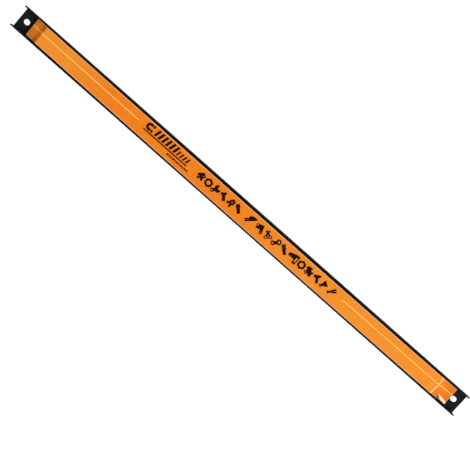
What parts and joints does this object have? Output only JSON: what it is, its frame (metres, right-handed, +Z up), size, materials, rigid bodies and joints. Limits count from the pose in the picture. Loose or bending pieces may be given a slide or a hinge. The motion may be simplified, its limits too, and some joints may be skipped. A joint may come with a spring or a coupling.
{
  "type": "magnetic tool and knife strip",
  "caption": "Long wall strip that holds tools and knives by magnets: a black steel channel, flanges forward, with a printed card over its magnet core and a screw slot in each open end.",
  "frame": {"origin": "centre of the rail's flat back, which rests on the wall", "axes": "+X along the strip to the right as a person facing it sees it, +Y into the wall, +Z up; the front faces -Y"},
  "size_m": [0.61, 0.0125, 0.0258],
  "materials": {
    "black_powder_coat": "satin",
    "ferrite": "matte",
    "mild_steel": "satin",
    "amber_epoxy": "satin",
    "white_tape": "matte",
    "orange_card": "satin",
    "black_ink": "satin",
    "cream_ink": "satin"
  },
  "bodies": {
    "root": {"rail": "black_powder_coat", "adhesive_bed": "amber_epoxy", "magnet_01": "ferrite", "magnet_02": "ferrite", "magnet_03": "ferrite", "magnet_04": "ferrite", "magnet_05": "ferrite", "magnet_06": "ferrite", "magnet_07": "ferrite", "magnet_08": "ferrite", "magnet_09": "ferrite", "magnet_10": "ferrite", "magnet_11": "ferrite", "magnet_12": "ferrite", "magnet_13": "ferrite", "magnet_14": "ferrite", "magnet_15": "ferrite", "magnet_16": "ferrite", "magnet_17": "ferrite", "magnet_18": "ferrite", "pole_bar": "mild_steel", "label_tape": "white_tape", "label_card": "orange_card"}
  },
  "joints": []
}
